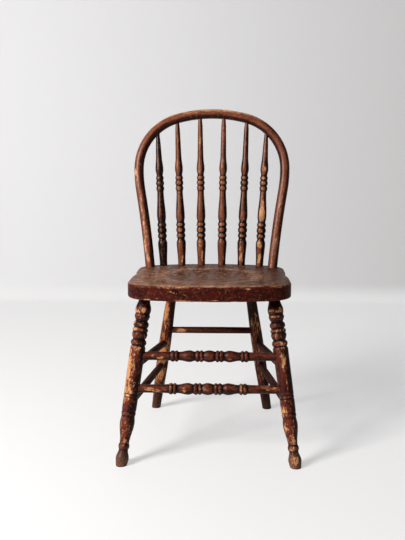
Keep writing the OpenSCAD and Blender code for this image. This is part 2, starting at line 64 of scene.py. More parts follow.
# %% Camera
CAMERA_PLACE = Vector((0.0367, -1.8553, 0.7233))
CAMERA_TURN = 0.0310
CAMERA_DIP = 0.1437
CAMERA_LENS, SENSOR_WIDTH = 46.67, 36  # mm
forward = Vector((-math.sin(CAMERA_TURN) * math.cos(CAMERA_DIP),
                  math.cos(CAMERA_TURN) * math.cos(CAMERA_DIP),
                  -math.sin(CAMERA_DIP)))
sideways = Vector((math.cos(CAMERA_TURN), math.sin(CAMERA_TURN), 0))
upward = sideways.cross(forward)
camera_data = bpy.data.cameras.new("camera")
camera_data.lens = CAMERA_LENS
camera_data.sensor_width = SENSOR_WIDTH
camera = bpy.data.objects.new("camera", camera_data)
camera.matrix_world = Matrix.Translation(CAMERA_PLACE) @ Matrix(
    (sideways, upward, -forward)).transposed().to_4x4()
scene.collection.objects.link(camera)
scene.camera = camera
print("camera stands", round((CAMERA_PLACE - Vector((0, 0, 0.45))).length, 2), "m from the seat")

# %% [markdown]
# ## Colours and nodes
# Colours are written as sRGB hex, as a paint card gives them, and one function turns them to
# the linear values that the renderer adds and multiplies. One more function adds a node to a
# tree, sets it and links it, so a tree reads as a list of steps.

# %% Colour and node helpers
# Kinds of node and settings that many lines share
MATH, VECTOR, RANGE = "ShaderNodeMath", "ShaderNodeVectorMath", "ShaderNodeMapRange"
SPLIT, JOIN = "ShaderNodeSeparateXYZ", "ShaderNodeCombineXYZ"
MIX = "ShaderNodeMix"
SMOOTH = {"interpolation_type": "SMOOTHSTEP"}
TIMES, TIMES_PLUS = {"operation": "MULTIPLY"}, {"operation": "MULTIPLY_ADD"}
COLOUR = {"data_type": "RGBA", "give": 2}


def linear(hex_colour):
    parts = [int(hex_colour[i:i + 2], 16) / 255 for i in (1, 3, 5)]
    return [c / 12.92 if c <= 0.04045 else ((c + 0.055) / 1.055) ** 2.4 for c in parts] + [1]


def add(tree, kind, inputs=(), give=0, **settings):
    # Inputs are a tuple in socket order, or a dict by name or number. `give` picks the
    # output that comes back, and None gives them all.
    node = tree.nodes.new(kind)
    for key, value in settings.items():
        setattr(node, key, value)
    for key, value in (inputs if isinstance(inputs, dict) else dict(enumerate(inputs))).items():
        if isinstance(value, bpy.types.NodeSocket):
            tree.links.new(value, node.inputs[key])
        else:
            node.inputs[key].default_value = value
    return node.outputs if give is None else node.outputs[give]


print("dark brown paint in linear light:", [round(c, 3) for c in linear("#3a1a12")])

# %% [markdown]
# ## Studio
# The chair stands on a pale floor in front of a pale wall. One sheet is bent up behind it in
# a gentle curve, so that no hard line crosses the background.

# %% Floor and wall
WALL_Y = 2.0
BEND = 0.12
SHEET_HALF, SHEET_TOP = 6.0, 5.0
PALE_SHARE = 0.5
floor_material = bpy.data.materials.new("pale painted floor")
floor_material.use_nodes = True
floor_tree = floor_material.node_tree
floor_shader = floor_tree.nodes["Principled BSDF"]
floor_shader.inputs["Roughness"].default_value = 0.65
floor_shader.inputs["Specular IOR Level"].default_value = 0.2
sheet_place = add(floor_tree, SPLIT, (add(floor_tree, "ShaderNodeTexCoord", give="Object"),),
                  None)
# The wall is painted lighter at the left and darker at the right, a painted falloff of the window
# light.
painted_falloff_to_right = add(floor_tree, RANGE, (sheet_place["X"], -1.1, 1.1))
up_wall = add(floor_tree, RANGE, (sheet_place["Z"], 0.0, 0.1), **SMOOTH)
wall_tone_with_painted_falloff = add(floor_tree, MIX, {0: painted_falloff_to_right, 6: linear("#f4f4f6"), 7: linear("#dddcdc")},
                **COLOUR)
tone_and_painted_falloff = add(floor_tree, MIX, {0: up_wall, 6: linear("#ffffff"), 7: wall_tone_with_painted_falloff}, **COLOUR)
painted, shown = (add(floor_tree, MIX, {0: 1.0, 6: linear(base), 7: tone_and_painted_falloff},
                      blend_type="MULTIPLY", **COLOUR) for base in ("#e8e7e7", "#f8f8f8"))
floor_tree.links.new(painted, floor_shader.inputs["Base Color"])
seen = add(floor_tree, "ShaderNodeLightPath", give="Is Camera Ray")
share = add(floor_tree, MATH, (seen, PALE_SHARE), **TIMES)
pale = add(floor_tree, "ShaderNodeEmission", {"Color": shown, "Strength": 1.0})
floor_mix = add(floor_tree, "ShaderNodeMixShader", (share, floor_shader.outputs[0], pale))
floor_tree.links.new(floor_mix, floor_tree.nodes["Material Output"].inputs["Surface"])

sheet_path = [(-SHEET_HALF, 0.0)]
for step in range(9):
    bend_angle = math.radians(90 * step / 8)
    sheet_path.append((WALL_Y - BEND + BEND * math.sin(bend_angle),
                       BEND - BEND * math.cos(bend_angle)))
sheet_path.append((WALL_Y, SHEET_TOP))
sheet_verts = [(x, y, z) for y, z in sheet_path for x in (-SHEET_HALF, SHEET_HALF)]
sheet_faces = [(2 * i, 2 * i + 1, 2 * i + 3, 2 * i + 2) for i in range(len(sheet_path) - 1)]
backdrop_mesh = bpy.data.meshes.new("backdrop")
backdrop_mesh.from_pydata(sheet_verts, [], sheet_faces)
backdrop_mesh.materials.append(floor_material)
backdrop_mesh.shade_smooth()
backdrop = bpy.data.objects.new("backdrop", backdrop_mesh)
scene.collection.objects.link(backdrop)
print("backdrop sheet:", len(sheet_faces), "strips")

# %% [markdown]
# ## Light
# Daylight comes through a wide window to the left and a little in front. A big area lamp
# gives its soft shadows to the right, and a pale world fills them.

# %% Lamps and world
def area_lamp(name, place, target, width, height, watts, colour):
    data = bpy.data.lights.new(name, "AREA")
    data.shape = "RECTANGLE"
    data.size = width
    data.size_y = height
    data.energy = watts
    data.color = linear(colour)[:3]
    lamp = bpy.data.objects.new(name, data)
    turn = (Vector(target) - Vector(place)).to_track_quat("-Z", "Y")
    lamp.matrix_world = Matrix.Translation(place) @ turn.to_matrix().to_4x4()
    scene.collection.objects.link(lamp)
    return lamp


area_lamp("window", (-2.2, -1.9, 2.0), (0, 0.1, 0.4), 1.0, 1.2, 170, "#fffcf8")
world = bpy.data.worlds.new("room light")
world.use_nodes = True
world.node_tree.nodes["Background"].inputs["Color"].default_value = linear("#e9eef6")
world.node_tree.nodes["Background"].inputs["Strength"].default_value = 0.24
scene.world = world
scene.view_settings.view_transform = "Standard"

# %% [markdown]
# ## Reading a turned piece from the CAD
# A spindle or a leg is a solid of revolution. Its axis runs between the centres of its two
# ends, and its outline is the distance of each ring of its mesh from that axis. With these
# two, the piece can be turned again as finely as its finish needs.

# %% Axis and outline of a CAD node
RING_POINTS = 12
RING_DEPTH = 0.05 * MM
RING_SLACK = 0.3 * MM
EVEN_RING = 0.45
ON_FLOOR = 0.01 * MM
THINNEST = 3 * MM


def corners(name):
    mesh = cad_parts[name].data
    flat = np.empty(len(mesh.vertices) * 3)
    mesh.vertices.foreach_get("co", flat)
    return np.unique(flat.reshape(-1, 3).round(6), axis=0)


def axis_of(points, toward):
    middle = points.mean(axis=0)
    direction = np.linalg.svd(points - middle, full_matrices=False)[2][0]
    if direction @ np.array(toward) < 0:
        direction = -direction
    reach = (points - middle) @ direction
    start = points[reach < reach.min() + MM].mean(axis=0)
    if points[:, 2].min() < MM:
        end = points[points[:, 2] < ON_FLOOR].mean(axis=0)
    else:
        end = points[reach > reach.max() - MM].mean(axis=0)
    return start, (end - start) / np.linalg.norm(end - start)


def axes_for(direction):
    front = np.array((0.0, -1.0, 0.0)) if abs(direction[1]) < 0.7 else np.array((1.0, 0, 0))
    front = front - direction * (front @ direction)
    front /= np.linalg.norm(front)
    return front, np.cross(direction, front)


def rings_about(points, start, direction):
    front, side = axes_for(direction)
    along = (points - start) @ direction
    across = np.stack(((points - start) @ front, (points - start) @ side), axis=1)
    radius = np.linalg.norm(across, axis=1)
    for key in np.unique((along / RING_DEPTH).round()):
        ring = abs(along / RING_DEPTH - key) < 1
        ring &= radius > radius[ring].max() - RING_SLACK
        if ring.sum() >= RING_POINTS and radius[ring].mean() > THINNEST:
            yield along[ring].mean(), across[ring], radius[ring]


def centred_axis(points, start, direction):
    places, offsets = [], []
    for along, across, radius in rings_about(points, start, direction):
        unit = across / radius[:, None]
        if np.linalg.norm(unit.mean(axis=0)) < EVEN_RING:
            terms = np.column_stack((unit, np.ones(len(unit))))
            places.append(along)
            offsets.append(np.linalg.lstsq(terms, radius, rcond=None)[0][:2])
    slope, shift = np.polyfit(places, np.array(offsets), 1)
    front, side = axes_for(direction)
    start = start + front * shift[0] + side * shift[1]
    direction = direction + front * slope[0] + side * slope[1]
    return start, direction / np.linalg.norm(direction)


def outline_of(name, toward):
    points = corners(name)
    start, direction = axis_of(points, toward)
    for _ in range(2):
        start, direction = centred_axis(points, start, direction)
    samples = {along: radius.mean() for along, _, radius in
               rings_about(points, start, direction)}
    floor_points = points[points[:, 2] < ON_FLOOR] - start
    for point in floor_points:
        reach = point @ direction
        size = np.linalg.norm(point - reach * direction)
        if size > 5 * MM:
            samples[reach] = size
    reaches = np.array(sorted(samples))
    return start, direction, reaches, np.array([samples[r] for r in reaches])


for probe, toward in (("spindle_3", (0, 0, 1)), ("front_leg_left", (0, 0, -1)),
                      ("front_stretcher_upper", (1, 0, 0))):
    place, way, reaches, sizes = outline_of(probe, toward)
    print(probe, "length", round(reaches[-1] / MM, 1), "mm, widest",
          round(2 * sizes.max() / MM, 1), "mm,", len(reaches), "rings")

# %% [markdown]
# ## Trees that make geometry
# Seventeen pieces of this chair are turned on a lathe, and one is bent along a path. Geometry
# Nodes suit both: one tree turns any outline, and another sweeps a round rod along any line.
# Each tree is run once on a source object and its result is kept as a plain mesh.

# %% Building and running a tree
STORE, READ = "GeometryNodeStoreNamedAttribute", "GeometryNodeInputNamedAttribute"
POSITION = "GeometryNodeInputPosition"
WELD = 1e-6


def new_tree(name, inputs):
    tree = bpy.data.node_groups.new(name, "GeometryNodeTree")
    tree.interface.new_socket("Geometry", in_out="INPUT", socket_type="NodeSocketGeometry")
    tree.interface.new_socket("Geometry", in_out="OUTPUT", socket_type="NodeSocketGeometry")
    for label, kind in inputs.items():
        tree.interface.new_socket(label, in_out="INPUT", socket_type="NodeSocket" + kind)
    return tree, add(tree, "NodeGroupInput", give=None)


def run_tree(source, tree, values, name):
    modifier = source.modifiers.new(tree.name, "NODES")
    modifier.node_group = tree
    sockets = {item.name: item.identifier for item in tree.interface.items_tree
               if item.in_out == "INPUT"}
    for label, value in values.items():
        modifier[sockets[label]] = value
    graph = bpy.context.evaluated_depsgraph_get()
    made = bpy.data.meshes.new_from_object(source.evaluated_get(graph),
                                           preserve_all_data_layers=True, depsgraph=graph)
    source.modifiers.remove(modifier)
    bpy.data.objects.remove(source)
    made.name = name
    return made


def write(mesh, name, values, kind="FLOAT"):
    key = "vector" if kind == "FLOAT_VECTOR" else "value"
    mesh.attributes.new(name, kind, "POINT").data.foreach_set(key, np.ravel(values))


def source_object(name, points):
    mesh = bpy.data.meshes.new(name)
    mesh.from_pydata([tuple(p) for p in points], [(i, i + 1) for i in range(len(points) - 1)], [])
    made = bpy.data.objects.new(name, mesh)
    scene.collection.objects.link(made)
    return made


# %% A tree that turns an outline
lathe, given = new_tree("turned on a lathe", {"Columns": "Int"})
outline = given["Geometry"]
rows = add(lathe, "GeometryNodeAttributeDomainSize", {"Geometry": outline}, component="MESH")
skin = add(lathe, "GeometryNodeMeshGrid", {"Size X": 1, "Size Y": 1, "Vertices X": given["Columns"],
                                           "Vertices Y": rows})
spot = add(lathe, SPLIT, (add(lathe, POSITION),), None)
turn = add(lathe, MATH, (spot["X"], 2 * math.pi), **TIMES)
row_share = add(lathe, MATH, (spot["Y"], 0.5), operation="ADD")
last_row = add(lathe, MATH, (rows, 1), operation="SUBTRACT")
row = add(lathe, MATH, (row_share, last_row), **TIMES)
row = add(lathe, MATH, (row,), operation="ROUND")
ring_place, ring_hollow = (
    add(lathe, "GeometryNodeSampleIndex", {"Geometry": outline, "Value": value, "Index": row},
        data_type=kind)
    for kind, value in (("FLOAT_VECTOR", add(lathe, POSITION)),
                        ("FLOAT", add(lathe, READ, {"Name": "hollow"}, data_type="FLOAT"))))
ring = add(lathe, SPLIT, (ring_place,), None)
on_circle = [add(lathe, MATH, (ring["X"], add(lathe, MATH, (turn,), operation=wave)), **TIMES)
             for wave in ("COSINE", "SINE")]
turned_place = add(lathe, JOIN, (*on_circle, ring["Z"]))
for label, kind, value in (("hollow", "FLOAT", ring_hollow),
                           ("place", "FLOAT_VECTOR", turned_place)):
    skin = add(lathe, STORE, {"Geometry": skin, "Name": label, "Value": value},
               data_type=kind, domain="POINT")
skin = add(lathe, "GeometryNodeSetPosition", {"Geometry": skin, "Position": turned_place})
skin = add(lathe, "GeometryNodeMergeByDistance", {"Geometry": skin, "Distance": WELD})
add(lathe, "NodeGroupOutput", (skin,), None)
print("lathe tree:", len(lathe.nodes), "nodes")

# %% A tree that sweeps a rod along a path
sweep, given = new_tree("rod bent along a path", {"Radius": "Float", "Columns": "Int"})
path = add(sweep, "GeometryNodeMeshToCurve", (given["Geometry"],))
path = add(sweep, STORE, {"Geometry": path, "Name": "reach", "Value":
                          add(sweep, "GeometryNodeSplineParameter", give="Length")},
           data_type="FLOAT", domain="POINT")
section = add(sweep, "GeometryNodeCurvePrimitiveCircle",
              {"Resolution": given["Columns"], "Radius": given["Radius"]}, mode="RADIUS")
section = add(sweep, STORE, {"Geometry": section, "Name": "section",
                             "Value": add(sweep, POSITION)},
              data_type="FLOAT_VECTOR", domain="POINT")
rod = add(sweep, "GeometryNodeCurveToMesh", {"Curve": path, "Profile Curve": section,
                                             "Fill Caps": True})
across = add(sweep, SPLIT, (add(sweep, READ, {"Name": "section"}, data_type="FLOAT_VECTOR"),),
             None)
reach = add(sweep, READ, {"Name": "reach"}, data_type="FLOAT")
rod = add(sweep, STORE, {"Geometry": rod, "Name": "place",
                         "Value": add(sweep, JOIN, (across["X"], across["Y"], reach))},
          data_type="FLOAT_VECTOR", domain="POINT")
add(sweep, "NodeGroupOutput", (rod,), None)
print("rod tree:", len(sweep.nodes), "nodes")

# %% [markdown]
# ## The peeling finish
# The chair has two films on its wood: a red-brown stain varnish, and a near-black coat over
# it. Both are whole in the grooves, rubbed thin where hands and feet pass, and broken into
# long flakes where damp has lifted them. Both are also thinned on the faces turned toward
# the front and the window and kept on the sides of each rod. This paints the lit faces
# lighter and the sides darker: painted shading over the real wear. The tree writes two
# numbers on every point, how far inside each film it is, and raises the skin by the film's
# thickness, so a chip has an edge.
# The film is drawn 0.35 mm thick, thicker than a real one, so that its edges catch light.

# %% A tree that lays, rubs and flakes the films
FILM_EDGE = 0.05
BACK_SHARE = 0.8
peel, given = new_tree("films rubbed, flaked and painted with shade", {
    "Seed": "Float", "Flake Length": "Float", "Flake Width": "Float", "Cover": "Float",
    "Flaking": "Float", "Crest Wear": "Float", "Wear And Light Direction": "Vector", "Rub": "Float",
    "Coat Wear And Shading": "Float", "Coat Cover": "Float", "Film": "Float", "Unevenness": "Float",
    "Material": "Material"})


def pattern(tree, place, scale, detail, roughness=0.55):
    noise = add(tree, "ShaderNodeTexNoise", {"Vector": place, "Scale": scale, "Detail": detail,
                                             "Roughness": roughness})
    return add(tree, MATH, (noise, 2.5, -1.25), **TIMES_PLUS)


def weighted(tree, total, *terms):
    for value, share in terms:
        total = add(tree, MATH, (value, share, total), **TIMES_PLUS)
    return total


place = add(peel, READ, {"Name": "place"}, data_type="FLOAT_VECTOR")
hollow, rubbed = (add(peel, READ, {"Name": label}, data_type="FLOAT")
                  for label in ("hollow", "rubbed"))
normal = add(peel, "GeometryNodeInputNormal")
per_width, per_length = (add(peel, MATH, (1000, given[label]), operation="DIVIDE")
                         for label in ("Flake Width", "Flake Length"))
per_flake = add(peel, JOIN, (per_width, per_width, per_length))
flake_place = add(peel, VECTOR, (place, per_flake), **TIMES)
seed_shift = add(peel, VECTOR, (given["Seed"], (7.1, 3.3, 5.7)), **TIMES)
flake_place = add(peel, VECTOR, (flake_place, seed_shift), operation="ADD")
flake = pattern(peel, flake_place, 1.0, 3.0, 0.6)
patch = pattern(peel, flake_place, 0.21, 2.0)
cloud = pattern(peel, flake_place, 0.33, 3.0)
lumps = pattern(peel, flake_place, 0.12, 2.0)

# %% Where wear, painted shading, grooves and marks take or keep the films
# Films thin on the faces turned toward this direction, most where they face it squarely and a
# little on the back, and stay on the sides: partly rubbing, partly painted shading that lightens
# the lit middle of a rod and darkens its edges.
toward_rub_and_light = add(peel, VECTOR, (normal, given["Wear And Light Direction"]), 1, operation="DOT_PRODUCT")
away = add(peel, MATH, (toward_rub_and_light, -BACK_SHARE), **TIMES)
facing_rub_and_light = add(peel, MATH, (toward_rub_and_light, away), operation="MAXIMUM")
facing_rub_and_light = add(peel, MATH, (facing_rub_and_light, 2.0), operation="POWER")
rub_and_painted_light, coat_rub_and_painted_shade = (add(peel, MATH, (facing_rub_and_light, given[label]), **TIMES)
                 for label in ("Rub", "Coat Wear And Shading"))
raised = add(peel, MATH, (add(peel, MATH, (hollow, -1), **TIMES), 0),
             operation="MAXIMUM")
crest = add(peel, MATH, (raised, given["Crest Wear"]), **TIMES)
sunken, marked = (add(peel, MATH, (value, 0), operation="MAXIMUM") for value in (hollow, rubbed))
# Grooves keep more of both films and so turn darker: kept paint and dirt, and painted shade in the
# recesses.
groove_dirt_and_shade = add(peel, MATH, (sunken, 0.5), **TIMES)
jagged = add(peel, MATH, (marked, 1.3, given["Flaking"]), **TIMES_PLUS)
paint = add(peel, MATH, (flake, jagged, given["Cover"]), **TIMES_PLUS)
coat = add(peel, MATH, (cloud, 0.6, given["Coat Cover"]), **TIMES_PLUS)
paint = weighted(peel, paint, (patch, 0.45), (groove_dirt_and_shade, 1), (crest, -1), (rub_and_painted_light, -1), (rubbed, -1))
coat = weighted(peel, coat, (groove_dirt_and_shade, 2.0), (crest, -0.8), (coat_rub_and_painted_shade, -1), (rubbed, -0.6))

# %% Raise the films and keep their numbers
edge = add(peel, RANGE, (paint, 0.0, FILM_EDGE), **SMOOTH)
raised = add(peel, MATH, (edge, given["Film"]), **TIMES)
raised = add(peel, MATH, (lumps, given["Unevenness"], raised), **TIMES_PLUS)
raised = add(peel, MATH, (raised, MM), **TIMES)
lift = add(peel, VECTOR, {0: normal, "Scale": raised}, operation="SCALE")
skin = given["Geometry"]
for label, value in (("paint", paint), ("top_coat", coat)):
    skin = add(peel, STORE, {"Geometry": skin, "Name": label, "Value": value},
               data_type="FLOAT", domain="POINT")
skin = add(peel, "GeometryNodeSetPosition", {"Geometry": skin, "Offset": lift})
skin = add(peel, "GeometryNodeSetShadeSmooth", (skin,))
skin = add(peel, "GeometryNodeRealizeInstances", (skin,))
skin = add(peel, "GeometryNodeSetMaterial", {"Geometry": skin, "Material": given["Material"]})
add(peel, "NodeGroupOutput", (skin,), None)
print("peeling tree:", len(peel.nodes), "nodes")

# %% [markdown]
# ## Materials
# Every finish here is the same system in another state of wear: wood taken as beech, with
# long grain, a satin red-brown stain varnish, and a near-black coat. The stored numbers say
# where each film ends, and the material breaks those edges up with a finer noise than the
# mesh can hold. Rubbed film is thin, so it turns paler and warmer towards its edge. Wood
# fibres and the smallest chips are too fine to show, so both are drawn as coarse as they need.

# %% Sizes of the patterns
GRAIN_WIDTH, GRAIN_LENGTH = 1.3, 38     # mm, coarser than the real fibre, which is under 0.3 mm
CRUMB = 2.2                             # mm, broken film edges, coarser than the real ones
MOTTLE, BLOTCH = 7, 30                  # mm, uneven film and broad darker areas
# The rest are counts to the metre, across and along
FLECKS = (340, 340, 150)                # chips 2.9 mm across and 6.7 mm long
CRACKS = (200, 200, 85)                 # islands 5 mm across and 12 mm long
SCUFFS = (55, 70, 55)                   # 18 mm by 14 mm
SCRATCHES = (45, 600, 45)               # 22 mm long and 1.7 mm apart
PALE_FLECKS = 75                        # 13 mm
DUST_TOP, DUST_FULL = 0.055, 0.004      # m above the floor


def layered(tree, colour, *layers):
    for mask, share, tint in layers:
        amount = add(tree, MATH, (mask, share), **TIMES)
        colour = add(tree, MIX, {0: amount, 6: colour, 7: linear(tint)}, **COLOUR)
    return colour


def scaled_pattern(tree, place, counts, detail, roughness=0.55):
    return pattern(tree, add(tree, VECTOR, (place, counts), **TIMES), 1.0, detail,
                   roughness)


# %% The worn top of the seat
def sat_top(tree, here, crumbs, mottle):
    scuffs = scaled_pattern(tree, here, SCUFFS, 6.0, 0.75)
    scratches = scaled_pattern(tree, here, SCRATCHES, 3.0, 0.6)
    # This field lightens and darkens the top: part wear, part painted sheen and painted light and
    # shade.
    wear_and_painted_light = add(tree, "ShaderNodeAttribute", give="Fac", attribute_name="wear_and_painted_light")
    wear = weighted(tree, scuffs, (scratches, 0.25), (crumbs, 0.3), (mottle, 1.0), (wear_and_painted_light, 1.0))
    half_wear = add(tree, MATH, (wear, 0.5), **TIMES)
    pale = add(tree, MATH, (pattern(tree, here, PALE_FLECKS, 5.0, 0.85), half_wear),
               operation="ADD")
    top = add(tree, "ShaderNodeAttribute", give="Fac", attribute_name="sat_on")
    worn = add(tree, MATH, (top, add(tree, RANGE, (wear, -0.45, 0.6), **SMOOTH)), **TIMES)
    film = add(tree, MIX, {0: worn, 6: linear("#30130a"), 7: linear("#8f6046")}, **COLOUR)
    return top, layered(tree, film, (add(tree, RANGE, (pale, 0.15, 0.5), **SMOOTH), 0.7,
                                     "#c09a7c"))


# %% Finish: films on wood
def worn_and_shaded_finish(name, wood, grain, stain, coat, satin, dull, gloss, specks=0.0, crackle=0.0,
                dust=0.0, polish=0.0, sat_on=False):
    material = bpy.data.materials.new(name)
    material.use_nodes = True
    tree = material.node_tree
    shader = tree.nodes["Principled BSDF"]
    shader.inputs["Specular IOR Level"].default_value = gloss
    place = add(tree, "ShaderNodeAttribute", give="Vector", attribute_name="place")
    paint, top_coat, hollow = (add(tree, "ShaderNodeAttribute", give="Fac", attribute_name=label)
                               for label in ("paint", "top_coat", "hollow"))
    here = add(tree, "ShaderNodeTexCoord", give="Object")
    fibre = scaled_pattern(tree, place, (1000 / GRAIN_WIDTH, 1000 / GRAIN_WIDTH,
                                         1000 / GRAIN_LENGTH), 4.0, 0.65)
    crumbs = pattern(tree, here, 1000 / CRUMB, 3.0, 0.7)
    mottle = pattern(tree, here, 1000 / MOTTLE, 5.0, 0.75)
    blotch = pattern(tree, here, 1000 / BLOTCH, 3.0)
    flecks = scaled_pattern(tree, place, FLECKS, 3.0)
    paint = weighted(tree, paint, (crumbs, 0.12), (flecks, specks))
    if crackle:
        cells = add(tree, "ShaderNodeTexVoronoi",
                    {"Vector": add(tree, VECTOR, (place, CRACKS), **TIMES),
                     "Scale": 1.0}, feature="DISTANCE_TO_EDGE")
        crack = add(tree, RANGE, (cells, 0.10, 0.0), **SMOOTH)
        paint = add(tree, MATH, (crack, -crackle, paint), **TIMES_PLUS)
    top_coat = weighted(tree, top_coat, (crumbs, 0.16))
    film, thick, black, groove_dirt_and_shade, crest, bare, pores, dark, light, broad = (
        add(tree, RANGE, (value, low, high), **SMOOTH) for value, low, high in (
            (paint, -0.02, 0.03), (paint, 0.0, 0.35), (top_coat, -0.25, 0.35),
            (hollow, 0.0, 0.3), (hollow, -0.05, -0.55), (fibre, -0.6, 0.7),
            (fibre, 0.5, -0.7), (mottle, 0.0, 0.5), (mottle, -0.05, -0.6),
            (blotch, -0.3, 0.9)))
    wood_colour = add(tree, MIX, {0: bare, 6: linear(grain), 7: linear(wood)}, **COLOUR)
    thin_stain = add(tree, MIX, {0: 0.55, 6: linear(wood), 7: linear(stain)}, **COLOUR)
    film_colour = layered(tree, thin_stain, (thick, 1, stain), (crest, polish, wood),
                          (pores, 0.35, coat), (black, 1, coat), (dark, 0.6, coat),
                          (light, 0.45, grain))
    colour = add(tree, MIX, {0: film, 6: wood_colour, 7: film_colour}, **COLOUR)
    if sat_on:
        top, top_film = sat_top(tree, here, crumbs, mottle)
        covered = add(tree, MATH, (top, film), **TIMES)
        colour = add(tree, MIX, {0: covered, 6: colour, 7: top_film}, **COLOUR)
    # Broad blotches of coat are uneven film. The near-black in the grooves is dirt and painted
    # shade.
    colour = layered(tree, colour, (broad, 0.45, coat), (groove_dirt_and_shade, 0.92, "#0a0403"))
    if dust:
        low = add(tree, SPLIT, (here,), "Z")
        near_floor = add(tree, RANGE, (low, DUST_TOP, DUST_FULL), **SMOOTH)
        uneven = add(tree, RANGE, (crumbs, -0.5, 0.5), **SMOOTH)
        scuffed = add(tree, MATH, (near_floor, uneven), **TIMES)
        colour = layered(tree, colour, (scuffed, dust, "#8a6c52"))
    tree.links.new(colour, shader.inputs["Base Color"])
    rough = weighted(tree, dull, (film, satin - dull), (crumbs, 0.05))
    tree.links.new(rough, shader.inputs["Roughness"])
    relief = weighted(tree, film, (fibre, 0.12), (crumbs, 0.06))
    bump = add(tree, "ShaderNodeBump", {"Strength": 0.6, "Distance": 0.35 * MM,
                                        "Height": relief})
    tree.links.new(bump, shader.inputs["Normal"])
    return material


# %% The finishes
# Colours are wood, grain, stain and coat. Then roughness of film and of wood, and sheen.
FINISHES = {}
for slot, name, colours, surface, extras in (
        # Brushed over red stain, worn by sitting: deep maroon edge, dull grey-brown top
        ("seat_varnish", "brushed varnish on stained beech seat",
         "#c9976c #936544 #44120a #190504", (0.42, 0.6, 0.06), {"specks": 0.55, "sat_on": True}),
        # Rubbed thin by hands on steamed wood: warm orange-brown with a soft sheen
        ("bow_varnish", "hand-rubbed varnish on steamed beech",
         "#cfa07a #a06e4c #78422c #280c08", (0.34, 0.55, 0.16), {"specks": 0.45}),
        # Old varnish on lathe-turned rods: bright rubbed beads between grooves dark with dirt and
        # painted shade
        ("spindle_varnish", "old varnish on turned beech spindles",
         "#d8a070 #a06a44 #743f28 #140504", (0.32, 0.55, 0.16), {"specks": 0.4, "polish": 0.6}),
        # Brittle oil paint on turned wood: long crisp flakes, pale wood, dusty feet
        ("front_leg_paint", "peeling oil paint on turned beech legs",
         "#d39d6c #96623e #5e2013 #1e0806", (0.4, 0.65, 0.12),
         {"specks": 0.6, "crackle": 0.1, "dust": 0.5, "polish": 0.12}),
        # The same paint flaked further: dry, matt, more tan wood than film
        ("rear_leg_paint", "flaked oil paint on plain beech legs",
         "#c28656 #8a5532 #5a1f12 #200a07", (0.45, 0.65, 0.08),
         {"specks": 0.45, "crackle": 0.12, "dust": 0.2}),
        # Red-brown varnish on turned rails: a low sheen, chipped at the rings
        ("front_stretcher_varnish", "chipped varnish on turned beech rails",
         "#c48a5a #8e5c3a #5a2618 #220b08", (0.38, 0.6, 0.12), {"specks": 0.45}),
        # Thin oil paint on plain rails: flat and dark, with scattered small chips
        ("plain_stretcher_paint", "dull oil paint on plain beech rails",
         "#bb8052 #845636 #522a1c #28100b", (0.6, 0.7, 0.03), {"specks": 0.45}),
        # Bare sawn wood, aged: grey-brown with no sheen
        ("wedge_wood", "aged bare beech wedge", "#a5794b #7a5230 #6b4a2e #33201b",
         (0.6, 0.7, 0.1), {})):
    FINISHES[slot] = worn_and_shaded_finish(name, *colours.split(), *surface, **extras)
print("finishes:", sorted(FINISHES))

# %% [markdown]
# ## Turned pieces
# Each turned piece is made from its CAD outline with cells of about 1.2 mm, softened a little
# as paint and handling soften real beads. `hollow` is how far a ring lies below its
# neighbours: dirt, paint and painted shade stay where it is high, and wear comes first where
# it is low. Chips that belong to one place are listed, in mm along the piece and degrees round it.

# %% Outline to skin
CELL = 1.2
FINE = 0.25


def smoothed(values, passes):
    for _ in range(passes):
        padded = np.concatenate(([values[0]], values, [values[-1]]))
        values = (padded[:-2] + 2 * padded[1:-1] + padded[2:]) / 4
    return values


def fine_outline(reaches, sizes, past_end):
    steps = np.arange(reaches[0], reaches[-1] + past_end, FINE * MM)
    widths = np.interp(steps, reaches, sizes)
    softened = smoothed(widths, 6)
    hollow = (smoothed(widths, 220) - softened) / (1.6 * MM)
    walked = np.concatenate(([0], np.cumsum(np.hypot(np.diff(steps), np.diff(softened)))))
    stops = np.linspace(0, walked[-1], int(walked[-1] / (CELL * MM)) + 1)
    return (np.interp(stops, walked, steps), np.interp(stops, walked, softened),
            np.interp(stops, walked, hollow))


def cut_at(mesh, height):
    shape = bmesh.new()
    shape.from_mesh(mesh)
    bmesh.ops.bisect_plane(shape, geom=shape.verts[:] + shape.edges[:] + shape.faces[:],
                           plane_co=(0, 0, height), plane_no=(0, 0, -1), clear_outer=True)
    rim = [edge for edge in shape.edges if edge.is_boundary]
    bmesh.ops.holes_fill(shape, edges=rim)
    flat = [face for face in shape.faces if len(face.verts) > 4]
    bmesh.ops.poke(shape, faces=flat)
    shape.to_mesh(mesh)
    shape.free()


def turned_skin(name, toward, columns):
    start, direction, reaches, sizes = outline_of(name, toward)
    on_floor = corners(name)[:, 2].min() < ON_FLOOR
    past_end = 2 * CELL * MM if on_floor else 0
    steps, widths, hollow = fine_outline(reaches, sizes, past_end)
    cap = np.linspace(0, 1, 6)[:-1]
    outline = ([(widths[0] * c, 0, steps[0]) for c in cap]
               + [(w, 0, s) for w, s in zip(widths, steps)]
               + [(widths[-1] * c, 0, steps[-1]) for c in cap[::-1]])
    ends = np.zeros(len(cap))
    source = source_object(name + " outline", outline)
    write(source.data, "hollow", np.concatenate((ends, hollow, ends)))
    mesh = run_tree(source, lathe, {"Columns": columns + 1}, name)
    front, side = axes_for(direction)
    turn = Matrix(np.array((front, side, direction)).T.tolist()).to_4x4()
    mesh.transform(Matrix.Translation(Vector(start)) @ turn)
    if on_floor:
        cut_at(mesh, 0)
    return mesh, start, direction


def points_of(mesh):
    flat = np.empty(len(mesh.vertices) * 3)
    mesh.vertices.foreach_get("co", flat)
    return flat.reshape(-1, 3)


